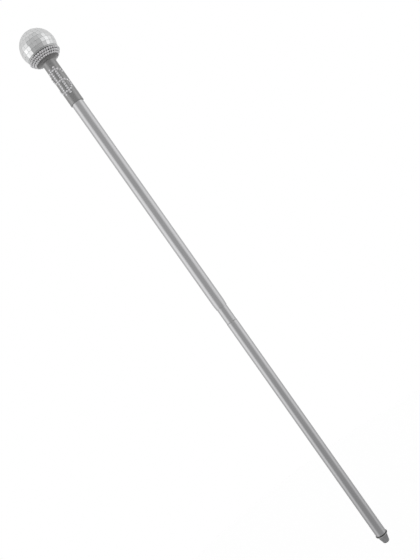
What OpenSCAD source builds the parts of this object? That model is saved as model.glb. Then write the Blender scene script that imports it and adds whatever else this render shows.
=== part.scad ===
// Show cane with a mirror-ball head, a two-piece shaft that screws together and rhinestone trim.
// Millimetres. The cane stands along +Z, z = 0 is the foot of the tip, and the motif faces -Y.

/* [Mirror ball] */
// Diameter over the faces of the mirror tiles
ball_d = 60; // [45:1:80]
// Rows of tiles from pole to pole, with both polar places counted
tile_rows = 14; // [10:2:18]
// Thickness of a mirror tile
tile_t = 0.8; // [0.6:0.1:1.5]
// Gap between neighbouring tiles
tile_gap = 0.2; // [0.15:0.05:0.6]

/* [Collar] */
// Latitude where the cup's upper edge stands, in degrees below the ball's equator
cup_edge_lat = 30.3; // [20:0.1:40]
// Wall of the cup that holds the ball
cup_wall = 1.2; // [0.8:0.1:3]
// Room between the tile corners and the cup
cup_clearance = 0.15; // [0.1:0.01:0.5]
// Rows of stones round the cup
collar_rows = 3; // [2:1:4]
// Distance between rows of stones on the cup
collar_row_pitch = 4; // [4:0.05:6]
// Distance between stones in a row on the cup
collar_pitch = 4.1; // [4:0.05:6]

/* [Rhinestones] */
// Diameter of a stone
stone_d = 3.9; // [2.5:0.1:3.9]
// Height of a stone, from its flat back to its table
stone_h = 1.5; // [1:0.1:2]
// Diameter of the table, the flat on top of a stone
table_d = 2.1; // [1:0.1:2.2]
// Height of the straight girdle under the crown
girdle_h = 0.4; // [0.2:0.1:0.6]

/* [Handle] */
// Length of the handle, from its lower edge to the floor of its cup
handle_len = 77.7; // [64:0.1:120]
// Wall of the handle round its socket
handle_wall = 1.3; // [1:0.1:4]
// Thickness of the floor between the socket and the cup
web_t = 4; // [3:0.5:8]
// Fillet between the handle and the underside of its cup
neck_fillet = 1.5; // [0.5:0.1:4]

/* [Motif] */
// Where the motif's middle stands, as a share of the handle's length
motif_place = 0.531; // [0.45:0.001:0.54]
// Distance between stones along the bars
motif_pitch = 3.95; // [3.95:0.05:4.3]
// Stones in each bar
bar_stones = 13; // [11:2:13]
// Distance between the bars, measured round the handle
bar_spacing = 7.9; // [7.8:0.1:9]
// Width of the curve, measured round the handle
curve_w = 26.6; // [26.4:0.2:32]

/* [Upper shaft] */
// Outside diameter of the upper tube
upper_d = 20.6; // [17:0.2:26]
// Length of the upper tube that shows below the handle
upper_show = 400; // [200:1:500]
// Wall of both tubes
tube_wall = 1.2; // [0.8:0.1:2]
// Length over which the upper tube's lower end narrows
taper_len = 10; // [4:1:20]
// How much of the tube's wall the narrowing takes, as a share
taper_share = 0.5; // [0.2:0.05:0.6]

/* [Lower shaft] */
// Outside diameter of the lower tube
lower_d = 18.7; // [17:0.1:23]
// Length of the lower tube
lower_len = 414; // [200:1:500]

/* [Screw joint] */
// Length of the coupling sleeve that shows
sleeve_show = 27.3; // [15:0.1:40]
// Length of each spigot that is glued into a tube
spigot_len = 24; // [18:1:40]
// Thickness of the joint washer
washer_t = 0.6; // [0.5:0.1:2]
// How far the joint washer stays inside the coupling sleeve's outline
washer_inset = 0.25; // [0.1:0.05:0.6]
// Major diameter of the thread on the stud
stud_d = 9.5; // [8:0.1:10]
// Length of the stud that screws into the bush
stud_grip = 18; // [15.5:0.5:24]
// Length of the stud that is fixed in its plug
stud_root = 16; // [10:1:17]
// Wall of the threaded bush in the coupling sleeve
bush_wall = 2.2; // [1.5:0.1:2.8]

/* [Tip] */
// Height of the foot below its ring
nose_h = 13.5; // [9:0.5:25]
// Diameter of the foot under its ring
nose_top_d = 17.4; // [13:0.2:18]
// Diameter of the foot near the ground
nose_low_d = 11; // [9:0.2:12.8]
// Rounding of the foot's lower edge
nose_round = 2; // [1:0.5:3]
// How far the ring stands out past the lower tube
ring_proud = 1.05; // [0.5:0.05:3]
// Thickness of the ring
ring_t = 3; // [2:0.5:6]
// Diameter of the peg that the foot is pressed on
peg_d = 6; // [4:0.5:8]

/* [Ball fixing] */
// Thread diameter of the fixing screw
screw_d = 4; // [3:0.5:5]
// Diameter of the screw's head
screw_head_d = 8; // [6:0.5:9]
// Height of the screw's head
screw_head_h = 2.6; // [2:0.1:4]
// Thickness of the washer under the screw's head
screw_washer_t = 0.8; // [0.5:0.1:1.5]
// Wall of the threaded insert in the ball
insert_wall = 2.5; // [1.5:0.5:4]
// Depth of the insert in the ball
insert_len = 16; // [10:1:20]
// Wall of the ball's hollow core
core_wall = 2.2; // [1.6:0.1:4]
// Overlap of the core's two halves
core_lap = 3; // [2:0.5:5]

/* [Hidden] */
$fn = 64;
fit = 0.05;             // radial room where one piece is glued, pressed or screwed into another
running = 0.1;          // radial room of the sliding socket and of the thread
seat = 0.05;            // room between faces that meet
glue_t = 0.05;          // thickness of the glue under a flat surface
edge = 0.4;             // chamfer on ends
pole_flat = 1;          // how much is cut off the core's lower pole
insert_flange_w = 1;    // how far the insert's flange stands out
overrun = 1;            // how far cutting shapes run past what they cut
row_start = [0.3, 0.8, 0.15, 0.6, 0.43, 0, 0.18, 0.25, 0.5, 0.9, 0.35, 0.7];     // where a row's first tile lies, in tiles
washer_lap = 0.9;       // how much of the lower tube's end the joint washer has to cover, less its inset

// radii that other pieces fit
upper_r = upper_d / 2;
upper_in_r = upper_r - tube_wall;
lower_r = lower_d / 2;
lower_in_r = lower_r - tube_wall;
handle_r = upper_r + running + handle_wall;
sleeve_r = upper_in_r - fit;
stud_r = stud_d / 2;
bush_r = stud_r + running + bush_wall;
bush_len = stud_grip + 2;
washer_r = max(sleeve_r, lower_in_r + washer_lap) - washer_inset;
ring_r = lower_r + ring_proud;
insert_r = screw_d / 2 + fit + insert_wall;

// heights, from the foot up
ring_z = nose_h;
lower_z = ring_z + ring_t;
washer_z = lower_z + lower_len + seat;
sleeve_z = washer_z + washer_t + seat;
upper_z = sleeve_z + sleeve_show;
handle_z = upper_z + upper_show;
neck_z = handle_z + handle_len;
seat_z = neck_z - web_t;
motif_z = handle_z + motif_place * handle_len;

// the ball and its cup
ball_r = ball_d / 2;
tile_step = 180 / tile_rows;
back_r = ball_r - tile_t;
core_r = back_r - glue_t;
tile_h = 2 * back_r * tan(tile_step / 2) - tile_gap;
cup_in_r = max([for (i = [1 : tile_rows - 2]) norm([ball_r, tile_h / 2, far_w(i)])]) + cup_clearance;
cup_out_r = cup_in_r + cup_wall;
ball_z = neck_z + cup_in_r;
collar_step = collar_row_pitch / cup_out_r * 180 / PI;
cup_edge_z = ball_z - cup_out_r * sin(cup_edge_lat);
fillet_r = handle_r + neck_fillet;
insert_z = ball_z - core_r + pole_flat;
screw_z = seat_z - screw_washer_t;

// the curve of the motif
loop_h = (bar_stones - 3) / 2 * motif_pitch;
loop_turn = 25.5;       // turn between neighbouring stones of a loop

collar_names = ["collar_stones_upper", "collar_stones_middle", "collar_stones_lower", "collar_stones_base"];
row_names = [for (i = [1 : tile_rows - 2]) str("mirror_row_", i < 10 ? "0" : "", i)];

// Latitude of the middle of tile row i, counted from the upper pole.
function row_lat(i) = 90 - (i + 0.5) * tile_step;

// Tiles that go round row i.
function row_count(i) = floor(2 * PI * back_r * cos(row_lat(i)) / (tile_h + tile_gap));

// Distance from the axis to the pole's side of a tile, and half a tile's width there and on the equator's side.
function row_near(i) = back_r * cos(row_lat(i)) - tile_h / 2 * sin(abs(row_lat(i)));
function near_w(i) = row_near(i) * tan(180 / row_count(i)) - tile_gap / 2;
function far_w(i) = near_w(i) + tile_h * sin(abs(row_lat(i))) * tan(180 / row_count(i));

// How much a tile gives up on the equator's side, so that its corners stay inside the row's own ring.
function row_trim(i) = pow(far_w(i), 2) * tan(abs(row_lat(i)) - tile_step / 2) / 2 / back_r;

// Height of the cup's underside at a distance from the axis.
function under_z(r) = ball_z - sqrt(pow(cup_out_r, 2) - pow(r, 2));

// Latitude and number of stones of collar row i.
function collar_lat(i) = cup_edge_lat + collar_step * (i + 0.6);
function collar_count(i) = floor(2 * PI * cup_out_r * cos(collar_lat(i)) / collar_pitch);

// A rod with both ends chamfered.
module rod(r, len, chamfer = edge) {
    rotate_extrude() polygon([[0, 0], [r - chamfer, 0], [r, chamfer], [r, len - chamfer], [r - chamfer, len], [0, len]]);
}

module bore(r, len) {
    translate([0, 0, -overrun]) cylinder(r = r, h = len + 2 * overrun);
}

// A flat-backed stone that stands on z = 0.
module stone() {
    rotate_extrude($fn = 32) polygon([[0, 0], [stone_d / 2, 0], [stone_d / 2, girdle_h], [table_d / 2, stone_h], [0, stone_h]]);
}

// Puts its children on a sphere round the ball's centre, facing out.
module on_ball(r, lat, turn) {
    translate([0, 0, ball_z]) rotate([0, 0, turn]) rotate([0, 90 - lat, 0]) translate([0, 0, r]) children();
}

// Puts its children on the handle, x round it from the motif's middle and z up from there.
module on_handle(x, z) {
    translate([0, 0, motif_z + z]) rotate([0, 0, x / handle_r * 180 / PI - 90])
        translate([handle_r + glue_t, 0, 0]) rotate([0, 90, 0]) children();
}

// Outline of the hollow core, with the boss that takes the insert.
module core_outline() {
    boss_r = insert_r + fit + core_wall;
    boss_top = insert_z - ball_z + insert_len + core_wall;
    difference() {
        intersection() {
            circle(r = core_r, $fn = 128);
            translate([0, insert_z - ball_z]) square(2 * ball_r);
        }
        difference() {
            circle(r = core_r - core_wall, $fn = 128);
            translate([0, -ball_r]) square([boss_r, ball_r + boss_top]);
        }
        translate([0, -ball_r]) square([insert_r + fit, ball_r + boss_top - core_wall]);
    }
}

module core_upper() {
    color("gainsboro") translate([0, 0, ball_z]) rotate_extrude() intersection() {
        core_outline();
        union() {
            translate([0, core_lap + seat]) square(ball_r);
            translate([core_r - core_wall / 2 + fit, seat]) square(ball_r);
        }
    }
}

module core_lower() {
    color("gainsboro") translate([0, 0, ball_z]) rotate_extrude() intersection() {
        core_outline();
        union() {
            translate([0, -ball_r]) square(ball_r);
            square([core_r - core_wall / 2, core_lap]);
        }
    }
}

module ball_insert() {
    foot_z = neck_z + seat;
    color("goldenrod") translate([0, 0, foot_z]) difference() {
        union() {
            cylinder(r = insert_r + insert_flange_w, h = insert_z - seat - foot_z);
            cylinder(r = insert_r, h = insert_z - foot_z + insert_len - seat);
        }
        bore(screw_d / 2 + fit, insert_z - foot_z + insert_len);
    }
}

// A flat mirror with as many sides as there are tiles in the row round it.
module pole_mirror() {
    sides = row_count(1);
    color("white") translate([0, 0, ball_z + back_r]) rotate([0, 0, 180 / sides])
        linear_extrude(tile_t) circle(r = (row_near(1) - tile_gap) / cos(180 / sides), $fn = sides);
}

// One row of tiles, each narrower towards the pole so that the gaps keep one width.
module mirror_row(i) {
    count = row_count(i);
    lean = sign(row_lat(i));
    far_h = tile_h / 2 - row_trim(i);
    wide = far_w(i) - row_trim(i) * sin(abs(row_lat(i))) * tan(180 / count);
    color("white") for (k = [0 : count - 1])
        on_ball(back_r, row_lat(i), (k + row_start[(i - 1) % len(row_start)]) * 360 / count) linear_extrude(tile_t)
            polygon([[-lean * tile_h / 2, -near_w(i)], [lean * far_h, -wide], [lean * far_h, wide], [-lean * tile_h / 2, near_w(i)]]);
}

module fixing_screw() {
    shank = insert_z + insert_len - 2 - screw_z;
    color("silver") difference() {
        union() {
            translate([0, 0, screw_z - screw_head_h]) cylinder(d = screw_head_d, h = screw_head_h);
            translate([0, 0, screw_z]) cylinder(d = screw_d, h = shank);
        }
        translate([-screw_head_d, -screw_d / 8, screw_z - screw_head_h - overrun])
            cube([2 * screw_head_d, screw_d / 4, overrun + screw_head_h / 2]);
    }
}

module screw_washer() {
    color("silver") translate([0, 0, screw_z]) difference() {
        cylinder(r = screw_head_d / 2 + 1.5, h = screw_washer_t);
        bore(screw_d / 2 + 2 * fit, screw_washer_t);
    }
}

// Sleeve and cup in one moulding.
module handle() {
    color("gray") rotate_extrude() difference() {
        union() {
            polygon([[0, handle_z], [handle_r - edge, handle_z], [handle_r, handle_z + edge],
                for (k = [0 : 5]) [fillet_r - neck_fillet * cos(k * 15), under_z(fillet_r) - neck_fillet * (1 - sin(k * 15))],
                [fillet_r, under_z(fillet_r) + overrun / 2], [0, under_z(fillet_r) + overrun / 2]]);
            intersection() {
                translate([0, ball_z]) circle(r = cup_out_r, $fn = 128);
                translate([0, ball_z - 2 * cup_out_r]) square([2 * cup_out_r, cup_edge_z - ball_z + 2 * cup_out_r]);
            }
        }
        translate([0, ball_z]) circle(r = cup_in_r, $fn = 128);
        translate([0, neck_z]) square([insert_r + insert_flange_w + 2 * fit, 2 * overrun]);
        translate([0, handle_z - overrun]) square([upper_r + running, seat_z - handle_z + overrun]);
        translate([0, seat_z - overrun]) square([screw_d / 2 + 4 * fit, web_t + 2 * overrun]);
    }
}

module collar_stones(i) {
    count = collar_count(i);
    color("aliceblue") for (k = [0 : count - 1])
        on_ball(cup_out_r + glue_t, -collar_lat(i), (k + (i % 2) / 2) * 360 / count) stone();
}

module motif_bar(side) {
    color("aliceblue") for (k = [0 : bar_stones - 1])
        on_handle(side * bar_spacing / 2, (k - (bar_stones - 1) / 2) * motif_pitch) stone();
}

// Two open loops, one over the other, with a stone between the bars at each end and in the middle.
module motif_curve() {
    color("aliceblue") {
        for (z = [-loop_h : loop_h : loop_h]) on_handle(0, z) stone();
        for (side = [-1, 1]) {
            for (k = [0 : 5]) loop_stone(side, (k - 2.5) * loop_turn);
            for (k = [0 : 2]) loop_stone(side, 180 + (k + 0.5) * loop_turn);
        }
    }
}

// A stone at a turn round the lower loop, or the same place turned half round on the upper one.
module loop_stone(side, turn) {
    x = sign(cos(turn)) * (curve_w - loop_h) / 2 + loop_h / 2 * cos(turn);
    z = loop_h / 2 * sin(turn) - loop_h / 2;
    on_handle(side * x, side * z) stone();
}

module upper_tube() {
    len = seat_z - seat - upper_z;
    small_r = upper_r - tube_wall * taper_share;
    color("silver") translate([0, 0, upper_z]) rotate_extrude() polygon([[upper_in_r, 0], [small_r, 0],
        [upper_r, taper_len], [upper_r, len - edge], [upper_r - edge, len], [upper_in_r, len]]);
}

module coupling_sleeve() {
    color("silver") translate([0, 0, sleeve_z]) difference() {
        rod(sleeve_r, sleeve_show + spigot_len);
        translate([0, 0, -overrun]) cylinder(r = bush_r + fit, h = bush_len + overrun);
    }
}

module thread_bush() {
    color("goldenrod") translate([0, 0, sleeve_z]) difference() {
        cylinder(r = bush_r, h = bush_len - seat);
        bore(stud_r + running, bush_len);
    }
}

module joint_washer() {
    color("dimgray") translate([0, 0, washer_z]) difference() {
        cylinder(r = washer_r, h = washer_t);
        bore(stud_r + 2 * running, washer_t);
    }
}

module coupling_stud() {
    color("silver") translate([0, 0, lower_z + lower_len - stud_root])
        rod(stud_r, stud_root + washer_t + 2 * seat + stud_grip, 2 * edge);
}

module coupling_plug() {
    color("goldenrod") translate([0, 0, lower_z + lower_len - spigot_len]) difference() {
        rod(lower_in_r - fit, spigot_len);
        translate([0, 0, spigot_len - stud_root - seat]) cylinder(r = stud_r + fit, h = stud_root + seat + overrun);
    }
}

module lower_tube() {
    color("silver") translate([0, 0, lower_z]) difference() {
        rod(lower_r, lower_len);
        bore(lower_in_r, lower_len);
    }
}

module tip_plug() {
    color("dimgray") {
        translate([0, 0, lower_z]) cylinder(r = lower_in_r - fit, h = spigot_len);
        translate([0, 0, nose_h / 3 + seat]) cylinder(d = peg_d, h = lower_z - nose_h / 3 - seat);
    }
}

module tip_ring() {
    color("silver") translate([0, 0, ring_z]) difference() {
        rod(ring_r, ring_t - seat, 2 * edge);
        bore(peg_d / 2 + fit, ring_t);
    }
}

// A cone whose lower edge is rounded onto a small flat foot.
module tip_foot() {
    centre_r = nose_low_d / 2 - nose_round;
    color("dimgray") difference() {
        rotate_extrude() {
            intersection() {
                translate([centre_r, nose_round]) circle(r = nose_round);
                square([nose_low_d, nose_round]);
            }
            square([centre_r, nose_round]);
            polygon([[0, nose_round], [nose_low_d / 2, nose_round], [nose_top_d / 2, nose_h - edge],
                [nose_top_d / 2 - edge, nose_h - seat], [0, nose_h - seat]]);
        }
        translate([0, 0, nose_h / 3]) cylinder(r = peg_d / 2 + fit, h = nose_h);
    }
}

core_upper();
core_lower();
ball_insert();
pole_mirror();
fixing_screw();
screw_washer();
handle();
motif_bar(-1);  // motif_bar_left
motif_bar(1);  // motif_bar_right
motif_curve();
upper_tube();
coupling_sleeve();
thread_bush();
joint_washer();
coupling_stud();
coupling_plug();
lower_tube();
tip_plug();
tip_ring();
tip_foot();
for (i = [0 : collar_rows - 1]) collar_stones(i);
for (i = [1 : tile_rows - 2]) mirror_row(i);
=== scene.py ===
import math
import random

import bmesh
import bpy
from mathutils import Matrix, Vector


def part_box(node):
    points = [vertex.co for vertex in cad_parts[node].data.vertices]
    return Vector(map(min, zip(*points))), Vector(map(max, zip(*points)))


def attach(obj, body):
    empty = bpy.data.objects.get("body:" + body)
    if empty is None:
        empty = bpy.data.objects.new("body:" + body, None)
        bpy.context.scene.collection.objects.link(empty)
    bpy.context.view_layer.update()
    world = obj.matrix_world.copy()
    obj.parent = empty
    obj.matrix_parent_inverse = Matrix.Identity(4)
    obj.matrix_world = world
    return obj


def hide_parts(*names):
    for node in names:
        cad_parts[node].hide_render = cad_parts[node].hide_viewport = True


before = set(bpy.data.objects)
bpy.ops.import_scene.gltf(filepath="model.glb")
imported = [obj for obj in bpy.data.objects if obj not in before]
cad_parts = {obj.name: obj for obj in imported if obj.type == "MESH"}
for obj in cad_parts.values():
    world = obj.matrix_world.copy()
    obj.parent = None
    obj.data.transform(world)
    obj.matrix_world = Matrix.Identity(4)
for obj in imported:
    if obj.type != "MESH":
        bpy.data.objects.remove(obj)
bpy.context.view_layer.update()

scene = bpy.context.scene
mm = 0.001


# Sizes that several pieces share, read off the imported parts.
def radiusOf(node):
    low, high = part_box(node)
    return (high.x - low.x + high.y - low.y) / 4


def bottomOf(node):
    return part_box(node)[0].z


def topOf(node):
    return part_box(node)[1].z


coreRadius = radiusOf("core_lower")
ballCentre = Vector((0, 0, topOf("core_upper") - coreRadius))
fitGap = 0.05 * mm
tubeBore = radiusOf("coupling_sleeve") + fitGap
lowerBore = radiusOf("coupling_plug") + fitGap


# Materials.
class Recipe:
    # A material's node tree, with short calls for the nodes this cane needs.
    def __init__(self, name):
        self.material = bpy.data.materials.new(name)
        self.material.use_nodes = True
        self.tree = self.material.node_tree
        self.surface = self.tree.nodes["Principled BSDF"]
        self.place = self.tree.nodes.new("ShaderNodeTexCoord").outputs["Object"]

    def join(self, source, target):
        self.tree.links.new(source, target)

    def set(self, **numbers):
        for key, number in numbers.items():
            self.surface.inputs[key.replace("_", " ")].default_value = number

    def mapped(self, scale):
        mapping = self.tree.nodes.new("ShaderNodeMapping")
        mapping.inputs["Scale"].default_value = scale
        self.join(self.place, mapping.inputs["Vector"])
        return mapping.outputs["Vector"]

    def noise(self, scale, detail=4.0, roughness=0.55):
        noise = self.tree.nodes.new("ShaderNodeTexNoise")
        noise.inputs["Scale"].default_value = 1.0
        noise.inputs["Detail"].default_value = detail
        noise.inputs["Roughness"].default_value = roughness
        self.join(self.mapped(scale), noise.inputs["Vector"])
        return noise.outputs["Fac"]

    def cells(self, scale):
        voronoi = self.tree.nodes.new("ShaderNodeTexVoronoi")
        voronoi.feature = "F1"
        voronoi.inputs["Scale"].default_value = 1.0
        self.join(self.mapped(scale), voronoi.inputs["Vector"])
        return voronoi.outputs["Distance"]

    def height(self):
        split = self.tree.nodes.new("ShaderNodeSeparateXYZ")
        self.join(self.place, split.inputs["Vector"])
        return split.outputs["Z"]

    def ranged(self, source, *limits):
        spread = self.tree.nodes.new("ShaderNodeMapRange")
        for key, number in zip(("From Min", "From Max", "To Min", "To Max"), limits):
            spread.inputs[key].default_value = number
        self.join(source, spread.inputs["Value"])
        return spread.outputs["Result"]

    def sums(self, operation, first, second):
        sums = self.tree.nodes.new("ShaderNodeMath")
        sums.operation = operation
        for socket, value in zip(sums.inputs, (first, second)):
            if isinstance(value, (int, float)):
                socket.default_value = value
            else:
                self.join(value, socket)
        return sums.outputs["Value"]

    def ramp(self, source, stops):
        ramp = self.tree.nodes.new("ShaderNodeValToRGB")
        elements = ramp.color_ramp.elements
        while len(elements) < len(stops):
            elements.new(0.5)
        for element, (position, colour) in zip(elements, stops):
            element.position = position
            element.color = (*colour, 1)
        self.join(source, ramp.inputs["Fac"])
        return ramp.outputs["Color"]

    def tone(self, name):
        attribute = self.tree.nodes.new("ShaderNodeAttribute")
        attribute.attribute_name = name
        return attribute.outputs["Fac"]

    def bump(self, source, height, strength=1.0):
        bump = self.tree.nodes.new("ShaderNodeBump")
        bump.inputs["Strength"].default_value = strength
        bump.inputs["Distance"].default_value = height
        self.join(source, bump.inputs["Height"])
        self.join(bump.outputs["Normal"], self.surface.inputs["Normal"])

    def base(self, source):
        self.join(source, self.surface.inputs["Base Color"])

    def rough(self, source):
        self.join(source, self.surface.inputs["Roughness"])


def makeSilverLacquer(name, dark, light):
    recipe = Recipe(name)
    recipe.set(Metallic=1.0, IOR=1.5)
    drawn = recipe.noise((900, 900, 9), 5, 0.6)        # lines left by drawing the tube
    mottle = recipe.noise((60, 60, 14), 4, 0.5)
    specks = recipe.cells((1400, 1400, 1400))
    cloud = recipe.sums("MULTIPLY", mottle, 0.65)
    both = recipe.sums("ADD", recipe.sums("MULTIPLY", drawn, 0.35), cloud)
    recipe.base(recipe.ramp(both, [(0.3, dark), (0.7, light)]))
    recipe.rough(recipe.ranged(mottle, 0.3, 0.7, 0.18, 0.26))
    heights = recipe.sums("ADD", drawn, recipe.sums("MULTIPLY", specks, 0.4))
    recipe.bump(heights, 0.006 * mm, 0.2)
    return recipe.material


# Satin grey that is more matt on the cup, above the neck, where its colour is darkened as painted shade.
def makeHandleGrey():
    recipe = Recipe("satinHandleGrey")
    recipe.set(Metallic=0.72, IOR=1.5, Coat_Weight=0.1, Coat_Roughness=0.2)
    cloud = recipe.noise((45, 45, 30), 4, 0.5)
    grain = recipe.noise((1500, 1500, 1500), 2, 0.5)
    neck = bottomOf("core_lower")
    cupStart = neck - 1 * mm
    cupEnd = neck + 5 * mm
    # keep is painted shade: it darkens the grey on the cup above the neck to 0.35 of its colour.
    keep = recipe.ranged(recipe.height(), cupStart, cupEnd, 1.0, 0.35)
    matt = recipe.ranged(recipe.height(), cupStart, cupEnd, 0.0, 0.35)
    recipe.base(recipe.sums("MULTIPLY", recipe.ranged(cloud, 0.3, 0.7, 0.36, 0.41), keep))
    recipe.rough(recipe.sums("ADD", recipe.ranged(cloud, 0.3, 0.7, 0.19, 0.25), matt))
    recipe.bump(grain, 0.006 * mm, 0.4)
    return recipe.material


def makeMirrorFace():
    recipe = Recipe("mirrorTileFace")
    recipe.set(Metallic=1.0)
    smudge = recipe.noise((160, 160, 160), 4, 0.6)
    tone = recipe.tone("tileTone")
    ownTone = recipe.sums("MULTIPLY", tone, 0.7)
    shade = recipe.sums("ADD", recipe.sums("MULTIPLY", smudge, 0.3), ownTone)
    recipe.base(recipe.ramp(shade, [(0.15, (0.9, 0.91, 0.912)), (0.6, (0.965, 0.968, 0.97))]))
    recipe.rough(recipe.ranged(smudge, 0.35, 0.75, 0.015, 0.07))
    recipe.bump(recipe.noise((260, 260, 260), 1, 0.4), 0.004 * mm, 0.6)
    return recipe.material


def makeMirrorEdge():
    recipe = Recipe("mirrorTileCutEdge")
    recipe.set(Metallic=0.3, IOR=1.5)
    chips = recipe.noise((1200, 1200, 1200), 3, 0.6)
    recipe.base(recipe.ramp(chips, [(0.35, (0.66, 0.71, 0.7)), (0.7, (0.84, 0.87, 0.86))]))
    recipe.rough(recipe.ranged(chips, 0.3, 0.7, 0.15, 0.4))
    recipe.bump(chips, 0.03 * mm, 0.6)
    return recipe.material


def makeCrystal():
    recipe = Recipe("rhinestoneFoil")
    recipe.set(Metallic=0.5, IOR=1.6, Coat_Weight=0.5, Coat_Roughness=0.02)
    tone = recipe.tone("stoneTone")
    shades = [(0.0, (0.88, 0.88, 0.9)), (0.5, (0.97, 0.97, 0.98)), (1.0, (0.95, 0.93, 0.95))]
    recipe.base(recipe.ramp(tone, shades))
    recipe.rough(recipe.ranged(recipe.noise((900, 900, 900), 2, 0.5), 0.3, 0.7, 0.04, 0.12))
    recipe.bump(recipe.cells((700, 700, 700)), 0.01 * mm, 0.4)
    return recipe.material


# A plain finish that shades from one colour to another, with its roughness from and to.
def makePlain(name, dark, light, metallic, roughness, scale, height):
    recipe = Recipe(name)
    recipe.set(Metallic=metallic, IOR=1.5)
    cloud = recipe.noise((scale, scale, scale), 4, 0.55)
    fine = recipe.noise((scale * 9, scale * 9, scale * 9), 3, 0.6)
    recipe.base(recipe.ramp(cloud, [(0.3, dark), (0.7, light)]))
    recipe.rough(recipe.ranged(fine, 0.3, 0.7, *roughness))
    recipe.bump(fine, height, 0.6)
    return recipe.material


# The tip's ring: bright below, with painted shade nearly black on its upper edge.
def makeRingMetal():
    recipe = Recipe("ringMetal")
    recipe.set(Metallic=0.9, IOR=1.5)
    cloud = recipe.noise((140, 140, 140), 4, 0.55)
    foot = bottomOf("tip_ring")
    # keep is painted shade: it darkens the ring's colour to 0.12 above the lowest 1.7 mm.
    keep = recipe.ranged(recipe.height(), foot + 1.3 * mm, foot + 1.7 * mm, 1.0, 0.12)
    recipe.base(recipe.sums("MULTIPLY", recipe.ranged(cloud, 0.3, 0.7, 0.68, 0.78), keep))
    recipe.rough(recipe.ranged(cloud, 0.3, 0.7, 0.22, 0.34))
    recipe.bump(recipe.noise((1260, 1260, 1260), 3, 0.6), 0.01 * mm, 0.6)
    return recipe.material


silver = makeSilverLacquer("silverTubeLacquer", (0.62, 0.62, 0.63), (0.7, 0.7, 0.71))
sleeveSilver = makeSilverLacquer("silverSleeveLacquer", (0.6, 0.6, 0.61), (0.69, 0.69, 0.7))
handleGrey = makeHandleGrey()
mirrorFace = makeMirrorFace()
mirrorEdge = makeMirrorEdge()
crystal = makeCrystal()
coreGrey = makePlain("ballCoreGlue", (0.8, 0.8, 0.81), (0.88, 0.88, 0.89), 0.0, (0.4, 0.6), 120, 0.05 * mm)
rubber = makePlain("footRubber", (0.19, 0.19, 0.195), (0.25, 0.25, 0.255), 0.0, (0.42, 0.6), 160, 0.03 * mm)
washerRubber = makePlain("washerRubber", (0.66, 0.66, 0.66), (0.74, 0.74, 0.74), 0.0, (0.5, 0.7), 160,
                         0.03 * mm)
ringMetal = makeRingMetal()
tipPlastic = makePlain("tipPlugPlastic", (0.2, 0.2, 0.21), (0.26, 0.26, 0.27), 0.0, (0.4, 0.55), 120,
                       0.02 * mm)
brass = makePlain("turnedBrass", (0.6, 0.43, 0.17), (0.72, 0.54, 0.25), 1.0, (0.2, 0.34), 200, 0.01 * mm)
steel = makePlain("zincSteel", (0.55, 0.55, 0.56), (0.66, 0.66, 0.66), 1.0, (0.22, 0.36), 200, 0.01 * mm)
plainAluminium = makePlain("turnedAluminium", (0.62, 0.62, 0.63), (0.72, 0.72, 0.73), 1.0, (0.26, 0.38), 200,
                           0.01 * mm)
print("materials made")


# Pieces.
def finishPiece(name, bm, body, replaced, materials, weighted=True):
    mesh = bpy.data.meshes.new(name)
    bm.to_mesh(mesh)
    bm.free()
    for material in materials:
        mesh.materials.append(material)
    piece = bpy.data.objects.new(name, mesh)
    scene.collection.objects.link(piece)
    if weighted:
        for polygon in mesh.polygons:
            polygon.use_smooth = True
        piece.modifiers.new("faceWeights", "WEIGHTED_NORMAL").keep_sharp = True
    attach(piece, body)
    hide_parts(*replaced)


# Turns an outline of (radius, height) points round the cane's axis.
def turnOutline(points, steps=96, closed=True):
    bm = bmesh.new()
    corners = [bm.verts.new((radius, 0, height)) for radius, height in points]
    links = [bm.edges.new(pair) for pair in zip(corners, corners[1:])]
    if closed:
        links.append(bm.edges.new((corners[-1], corners[0])))
    bmesh.ops.spin(bm, geom=corners + links, cent=(0, 0, 0), axis=(0, 0, 1), angle=2 * math.pi,
                   steps=steps, use_merge=True)
    bmesh.ops.remove_doubles(bm, verts=bm.verts, dist=1e-7)
    bmesh.ops.recalc_face_normals(bm, faces=bm.faces)
    return bm


def roundCorners(bm, width, segments=3, sharpest=25):
    limit = math.radians(sharpest)
    edges = [edge for edge in bm.edges if edge.is_manifold and edge.calc_face_angle() > limit]
    bmesh.ops.bevel(bm, geom=edges, offset=width, affect="EDGES", segments=segments, profile=0.5,
                    material=-1, clamp_overlap=True)


handleForm = {
    "wall": 1.3 * mm,
    "cupWall": 1.2 * mm,
    "neckFillet": 1.5 * mm,
    "socketRoom": 0.1 * mm,
    "floorThickness": 4.0 * mm,
    "cornerRound": 0.3 * mm,
    "seatRadius": 5.65 * mm,
    "screwHole": 2.2 * mm,
    "steps": 128,
    "arcSteps": 16,
    "filletSteps": 6,
}


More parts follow.
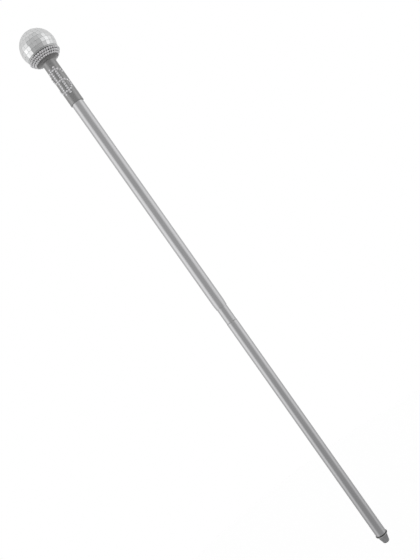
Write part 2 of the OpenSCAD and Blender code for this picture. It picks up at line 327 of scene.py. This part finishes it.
def makeHandle(form):
    low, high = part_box("handle")
    outer = math.hypot(high.x, ballCentre.z - high.z)
    inner = outer - form["cupWall"]
    neck = ballCentre.z - inner
    floor = neck - form["floorThickness"]
    socket = radiusOf("upper_tube") + form["socketRoom"]
    grip = socket + form["wall"]
    fillet = form["neckFillet"]
    meet = grip + fillet
    below = ballCentre.z - math.sqrt(outer ** 2 - meet ** 2)
    points = [(socket, low.z), (grip, low.z)]
    for step in range(form["filletSteps"] + 1):
        turn = math.pi / 2 * step / form["filletSteps"]
        points.append((meet - fillet * math.cos(turn), below - fillet * (1 - math.sin(turn))))
    steepest = math.acos(meet / outer)
    edge = math.asin((ballCentre.z - high.z) / outer)
    for step in range(1, form["arcSteps"] + 1):
        turn = steepest + (edge - steepest) * step / form["arcSteps"]
        points.append((outer * math.cos(turn), ballCentre.z - outer * math.sin(turn)))
    edge = math.asin((ballCentre.z - high.z) / inner)
    seat = math.acos(form["seatRadius"] / inner)
    for step in range(form["arcSteps"] + 1):
        turn = edge + (seat - edge) * step / form["arcSteps"]
        points.append((inner * math.cos(turn), ballCentre.z - inner * math.sin(turn)))
    points += [(form["seatRadius"], neck), (form["screwHole"], neck), (form["screwHole"], floor),
               (socket, floor)]
    bm = turnOutline(points, form["steps"])
    roundCorners(bm, form["cornerRound"])
    finishPiece("handleMoulding", bm, "head", ["handle"], [handleGrey])


makeHandle(handleForm)

upperTubeForm = {"taperLength": 10 * mm, "taperDrop": 0.6 * mm, "cornerRound": 0.18 * mm}


def makeUpperTube(form):
    low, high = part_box("upper_tube")
    outer = radiusOf("upper_tube")
    small = outer - form["taperDrop"]
    points = [(tubeBore, low.z), (small, low.z), (outer, low.z + form["taperLength"]),
              (outer, high.z), (tubeBore, high.z)]
    bm = turnOutline(points)
    roundCorners(bm, form["cornerRound"])
    finishPiece("upperShaftTube", bm, "upper_shaft", ["upper_tube"], [silver])


makeUpperTube(upperTubeForm)

lowerTubeForm = {"cornerRound": 0.15 * mm}


def makeLowerTube(form):
    low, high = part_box("lower_tube")
    outer = radiusOf("lower_tube")
    bm = turnOutline([(lowerBore, low.z), (outer, low.z), (outer, high.z), (lowerBore, high.z)])
    roundCorners(bm, form["cornerRound"])
    finishPiece("lowerShaftTube", bm, "lower_shaft", ["lower_tube"], [silver])


makeLowerTube(lowerTubeForm)

sleeveForm = {"cornerRound": 0.15 * mm, "boreTop": 20 * mm}


def makeSleeve(form):
    low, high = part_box("coupling_sleeve")
    outer = radiusOf("coupling_sleeve")
    bore = radiusOf("thread_bush") + fitGap
    bm = turnOutline([(bore, low.z), (outer, low.z), (outer, high.z), (0, high.z),
                      (0, low.z + form["boreTop"]), (bore, low.z + form["boreTop"])])
    roundCorners(bm, form["cornerRound"])
    finishPiece("couplingSleeve", bm, "upper_shaft", ["coupling_sleeve"], [sleeveSilver])


makeSleeve(sleeveForm)

washerForm = {"cornerRound": 0.08 * mm, "bore": 4.95 * mm}


def makeWasher(form):
    low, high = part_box("joint_washer")
    outer = radiusOf("joint_washer")
    bm = turnOutline([(form["bore"], low.z), (outer, low.z), (outer, high.z), (form["bore"], high.z)])
    roundCorners(bm, form["cornerRound"])
    finishPiece("jointWasher", bm, "joint_ring", ["joint_washer"], [washerRubber])


makeWasher(washerForm)

studForm = {"rootLength": 16 * mm, "runIn": 1 * mm, "pitch": 3 * mm, "depth": 0.75 * mm, "sharpness": 1.5,
            "rise": 0.25 * mm, "noseLength": 1.2 * mm, "noseDrop": 0.9 * mm, "steps": 48}


# A rod whose upper part is cut with a right-hand thread.
def makeStud(form):
    low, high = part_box("coupling_stud")
    outer = radiusOf("coupling_stud")
    length = high.z - low.z
    count = round(length / form["rise"])
    points = [(0, low.z)]
    points += [(outer, low.z + length * row / count) for row in range(count + 1)]
    points += [(0, high.z)]
    bm = turnOutline(points, form["steps"], closed=False)
    threadStart = low.z + form["rootLength"] + form["runIn"]
    for vert in bm.verts:
        radius = math.hypot(vert.co.x, vert.co.y)
        if radius < outer / 2:
            continue
        along = vert.co.z - threadStart
        phase = (along / form["pitch"] - math.atan2(vert.co.y, vert.co.x) / 2 / math.pi) % 1
        groove = 0.5 - 0.5 * math.cos(2 * math.pi * phase)
        lead = min(1, max(0, along / form["pitch"]))
        nose = max(0, 1 - (high.z - vert.co.z) / form["noseLength"])
        cut = form["depth"] * lead * groove ** form["sharpness"]
        keep = (outer - max(cut, nose * form["noseDrop"])) / radius
        vert.co.x *= keep
        vert.co.y *= keep
    bmesh.ops.recalc_face_normals(bm, faces=bm.faces)
    finishPiece("couplingStudThread", bm, "lower_shaft", ["coupling_stud"], [steel])


makeStud(studForm)

tipForm = {"ringRound": 1.1 * mm, "pegRoom": 3.05 * mm, "lowRadius": 5.5 * mm, "lowRound": 2 * mm,
           "topRadius": 8.7 * mm, "pegDepth": 4.5 * mm, "footRound": 0.3 * mm}


def makeTip(form):
    low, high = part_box("tip_ring")
    outer = radiusOf("tip_ring")
    bore = form["pegRoom"]
    bm = turnOutline([(bore, low.z), (outer, low.z), (outer, high.z), (bore, high.z)])
    rims = [edge for edge in bm.edges if edge.is_manifold and edge.calc_face_angle() > 1
            and edge.verts[0].co.xy.length > outer - 0.1 * mm]
    bmesh.ops.bevel(bm, geom=rims, offset=form["ringRound"], affect="EDGES", segments=4, profile=0.5,
                    material=-1, clamp_overlap=True)
    finishPiece("tipRing", bm, "lower_shaft", ["tip_ring"], [ringMetal])

    low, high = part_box("tip_foot")
    centre = form["lowRadius"] - form["lowRound"]
    arc = [math.radians(15 * step) for step in range(7)]
    points = [(0, low.z)]
    points += [(centre + form["lowRound"] * math.sin(turn), low.z + form["lowRound"] * (1 - math.cos(turn)))
               for turn in arc]
    points += [(form["topRadius"], high.z), (form["pegRoom"], high.z),
               (form["pegRoom"], low.z + form["pegDepth"]), (0, low.z + form["pegDepth"])]
    bm = turnOutline(points, 96, closed=False)
    roundCorners(bm, form["footRound"], 2, 40)
    finishPiece("tipFoot", bm, "lower_shaft", ["tip_foot"], [rubber])


makeTip(tipForm)
print("turned pieces made")


# A merged copy of a CAD node's mesh, in which islandsOf finds the separate solids.
def mergedCopy(node):
    bm = bmesh.new()
    bm.from_mesh(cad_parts[node].data)
    bmesh.ops.remove_doubles(bm, verts=bm.verts, dist=1e-6)
    bmesh.ops.dissolve_limit(bm, angle_limit=math.radians(1), verts=bm.verts, edges=bm.edges)
    return bm


def islandsOf(bm):
    seen = set()
    found = []
    for start in bm.verts:
        if start in seen:
            continue
        island = [start]
        seen.add(start)
        for vert in island:
            for edge in vert.link_edges:
                other = edge.other_vert(vert)
                if other not in seen:
                    seen.add(other)
                    island.append(other)
        found.append(island)
    return found


def middleOf(verts):
    return sum((vert.co for vert in verts), Vector()) / len(verts)


tileForm = {"bevel": 0.05 * mm, "grow": 1.025, "tilt": 0.7, "twist": 1, "sink": 0.05 * mm, "seed": 11}


# Mirror tiles: bevelled edges, and each tile laid a little out of true.
def makeTiles(name, node, form):
    bm = mergedCopy(node)
    chance = random.Random(form["seed"] + len(bm.verts) + ord(node[-1]))
    tone = bm.verts.layers.float.new("tileTone")
    for island in islandsOf(bm):
        middle = middleOf(island)
        outward = (middle - ballCentre).normalized()
        tilt = math.radians(chance.uniform(-form["tilt"], form["tilt"]))
        twist = math.radians(chance.uniform(-form["twist"], form["twist"]))
        turn = Matrix.Rotation(twist, 3, outward) @ Matrix.Rotation(tilt, 3, outward.orthogonal())
        shade = chance.random()
        for vert in island:
            arm = vert.co - middle
            arm += (arm - outward * arm.dot(outward)) * (form["grow"] - 1)
            vert.co = middle + turn @ arm - outward * form["sink"]
            vert[tone] = shade
    fronts = set()
    for face in bm.faces:
        outward = (face.calc_center_median() - ballCentre).normalized()
        facing = face.normal.dot(outward)
        face.material_index = 0 if abs(facing) > 0.7 else 1      # silvered faces, then cut edges
        if facing > 0.7:
            fronts.add(face)
    rims = [edge for edge in bm.edges if edge.is_manifold and edge.calc_face_angle() > 1
            and not fronts.isdisjoint(edge.link_faces)]
    bmesh.ops.bevel(bm, geom=rims, offset=form["bevel"], affect="EDGES", segments=1, profile=0.5,
                    material=0, clamp_overlap=True)
    finishPiece(name, bm, "head", [node], [mirrorFace, mirrorEdge], weighted=False)


tileNodes = sorted(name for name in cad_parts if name.startswith("mirror_row_"))
for number, node in enumerate(tileNodes):
    makeTiles(f"mirrorTiles{number + 1:02d}", node, tileForm)
makeTiles("poleMirror", "pole_mirror", tileForm)
print("mirror tiles laid:", len(tileNodes), "rows")

stoneForm = {"across": 3.9 * mm, "table": 2.0 * mm, "girdle": 0.35 * mm, "height": 1.5 * mm,
             "facetCut": 0.34 * mm, "tableStep": 0.32 * mm, "tableRise": 0.16 * mm, "seed": 5}


# One cut stone on z = 0: a girdle, sixteen crown facets in two rings and a table.
def makeStoneMesh(form):
    bm = bmesh.new()
    wide = form["across"] / 2 / math.cos(math.pi / 8) * 0.985
    bmesh.ops.create_cone(bm, cap_ends=True, cap_tris=False, segments=8, radius1=wide,
                          radius2=form["table"] / 2 * 1.25, depth=form["height"] - form["girdle"])
    slopes = [edge for edge in bm.edges
              if abs(edge.verts[0].co.z - edge.verts[1].co.z) > form["height"] / 2]
    bmesh.ops.bevel(bm, geom=slopes, offset=form["facetCut"], affect="EDGES", segments=1, profile=0.5,
                    material=-1)
    lowest = min(vert.co.z for vert in bm.verts)
    for vert in bm.verts:
        if vert.co.z < lowest + 0.05 * mm:
            vert.co.xy = vert.co.xy.normalized() * form["across"] / 2
    back = [face for face in bm.faces if face.normal.z < -0.9]
    moved = bmesh.ops.extrude_face_region(bm, geom=back)["geom"]
    verts = [item for item in moved if isinstance(item, bmesh.types.BMVert)]
    bmesh.ops.translate(bm, verts=verts, vec=(0, 0, -form["girdle"]))
    bmesh.ops.delete(bm, geom=back, context="FACES_KEEP_BOUNDARY")
    table = [face for face in bm.faces if face.normal.z > 0.9]
    bmesh.ops.inset_region(bm, faces=table, thickness=form["tableStep"], depth=form["tableRise"],
                           use_even_offset=True)
    bmesh.ops.recalc_face_normals(bm, faces=bm.faces)
    base = min(vert.co.z for vert in bm.verts)
    peak = max(vert.co.z for vert in bm.verts)
    for vert in bm.verts:
        vert.co.z = (vert.co.z - base) * form["height"] / (peak - base)
    mesh = bpy.data.meshes.new("cutStone")
    bm.to_mesh(mesh)
    bm.free()
    return mesh


stoneMesh = makeStoneMesh(stoneForm)


# Puts a cut stone where each plain one stands, with its back on the same place.
def makeStones(name, node, onBall, form):
    plain = mergedCopy(node)
    chance = random.Random(form["seed"] + len(plain.verts) + ord(node[-1]))
    bm = bmesh.new()
    tone = bm.verts.layers.float.new("stoneTone")
    for island in islandsOf(plain):
        middle = middleOf(island)
        centre = ballCentre if onBall else Vector((0, 0, middle.z))
        outward = (middle - centre).normalized()
        back = min((vert.co - centre).dot(outward) for vert in island)
        seat = centre + outward * back
        lie = outward.to_track_quat("Z", "Y").to_matrix().to_4x4()
        spin = Matrix.Rotation(chance.uniform(0, 2 * math.pi), 4, "Z")
        before = len(bm.verts)
        bm.from_mesh(stoneMesh)
        bm.verts.ensure_lookup_table()
        fresh = bm.verts[before:]
        bmesh.ops.transform(bm, matrix=Matrix.Translation(seat) @ lie @ spin, verts=fresh)
        shade = chance.random()
        for vert in fresh:
            vert[tone] = shade
    plain.free()
    finishPiece(name, bm, "head", [node], [crystal], weighted=False)


for row in ("Upper", "Middle", "Lower"):
    makeStones(f"collarStones{row}", f"collar_stones_{row.lower()}", True, stoneForm)
for name, node in (("motifBarLeft", "motif_bar_left"), ("motifBarRight", "motif_bar_right"),
                   ("motifCurve", "motif_curve")):
    makeStones(name, node, False, stoneForm)
bpy.data.meshes.remove(stoneMesh)
print("stones set")

for node, material in (("core_upper", coreGrey), ("core_lower", coreGrey), ("ball_insert", brass),
                       ("fixing_screw", steel), ("screw_washer", steel), ("thread_bush", brass),
                       ("coupling_plug", plainAluminium), ("tip_plug", tipPlastic)):
    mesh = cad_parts[node].data
    mesh.materials.clear()
    mesh.materials.append(material)


# Studio: a camera, plain soft light and a pale floor.
shot = {
    "lens": 46.2,
    "distance": 1.15,
    "height": 0.505,
    "aside": 0.010,
    "turn": 12.5,
    "roll": 35.2,
}
# Light by direction: pale walls, a darker ground, shade behind the camera and a softbox at each side.
studio = {
    "ground": 0.35,
    "wall": 0.65,
    "low": -0.8,        # sine of the height up to which the light is the ground's
    "high": 0.1,        # sine of the height from which it is the walls'
    "shade": 0.7,       # share of the light that is left straight behind the camera
    # Turn to the right of the camera, height and reach in degrees, and light.
    "softboxes": ((-70, 5, 40, 0.45), (75, 5, 40, 0.3)),
}


def makeCamera(form):
    turn = math.radians(form["turn"])
    roll = math.radians(form["roll"])
    right = Vector((math.cos(turn), math.sin(turn), 0))
    ahead = Vector((-math.sin(turn), math.cos(turn), 0))
    up = Vector((0, 0, 1))
    across = math.cos(roll) * right - math.sin(roll) * up
    upward = math.sin(roll) * right + math.cos(roll) * up
    camera = bpy.data.objects.new("camera", bpy.data.cameras.new("camera"))
    scene.collection.objects.link(camera)
    camera.data.lens = form["lens"]
    camera.data.sensor_width = 36
    camera.data.clip_start = 0.01
    place = up * form["height"] + right * form["aside"] - ahead * form["distance"]
    camera.matrix_world = Matrix.Translation(place) @ Matrix((across, upward, -ahead)).transposed().to_4x4()
    scene.camera = camera


makeCamera(shot)


def makeStudioLight(form):
    world = bpy.data.worlds.new("studio")
    scene.world = world
    world.use_nodes = True
    tree = world.node_tree
    tree.nodes.clear()
    make = tree.nodes.new
    join = tree.links.new
    direction = make("ShaderNodeTexCoord").outputs["Generated"]

    def towards(turn, height):
        turn = math.radians(turn + shot["turn"])
        height = math.radians(height)
        flat = math.cos(height)
        dot = make("ShaderNodeVectorMath")
        dot.operation = "DOT_PRODUCT"
        join(direction, dot.inputs[0])
        dot.inputs[1].default_value = (math.sin(turn) * flat, -math.cos(turn) * flat, math.sin(height))
        return dot.outputs["Value"]

    def softly(value, *limits):
        step = make("ShaderNodeMapRange")
        step.interpolation_type = "SMOOTHSTEP"
        join(value, step.inputs["Value"])
        for name, limit in zip(("From Min", "From Max", "To Min", "To Max"), limits):
            step.inputs[name].default_value = limit
        return step.outputs["Result"]

    def sums(operation, first, second):
        box = make("ShaderNodeMath")
        box.operation = operation
        join(first, box.inputs[0])
        join(second, box.inputs[1])
        return box.outputs["Value"]

    light = softly(towards(0, 90), form["low"], form["high"], form["ground"], form["wall"])
    light = sums("MULTIPLY", light, softly(towards(0, 0), 0, 1, 1, form["shade"]))
    for turn, height, reach, strength in form["softboxes"]:
        edge = math.cos(math.radians(reach))
        light = sums("ADD", light, softly(towards(turn, height), edge, 1, 0, strength))
    light = sums("MAXIMUM", light, make("ShaderNodeLightPath").outputs["Is Camera Ray"])
    back = make("ShaderNodeBackground")
    back.inputs["Color"].default_value = (1, 1, 1, 1)
    join(light, back.inputs["Strength"])
    join(back.outputs["Background"], make("ShaderNodeOutputWorld").inputs["Surface"])


makeStudioLight(studio)

# The floor stands clear of the shaft when it is let down.
floorForm = {"radius": 0.9, "drop": 80 * mm, "glow": 0.45, "colour": (0.85, 0.85, 0.85, 1)}


def makeFloor(form):
    bm = bmesh.new()
    bmesh.ops.create_circle(bm, cap_ends=True, segments=96, radius=form["radius"])
    mesh = bpy.data.meshes.new("studioFloor")
    bm.to_mesh(mesh)
    bm.free()
    floor = bpy.data.objects.new("studioFloor", mesh)
    scene.collection.objects.link(floor)
    recipe = Recipe("paleFloor")
    recipe.set(Base_Color=form["colour"], Roughness=0.9,
               Emission_Color=(1, 1, 1, 1), Emission_Strength=form["glow"])
    mesh.materials.append(recipe.material)
    floor.location.z = -form["drop"]
    floor.visible_glossy = False


makeFloor(floorForm)
scene.view_settings.view_transform = "Standard"
scene.view_settings.look = "None"
print("studio ready")
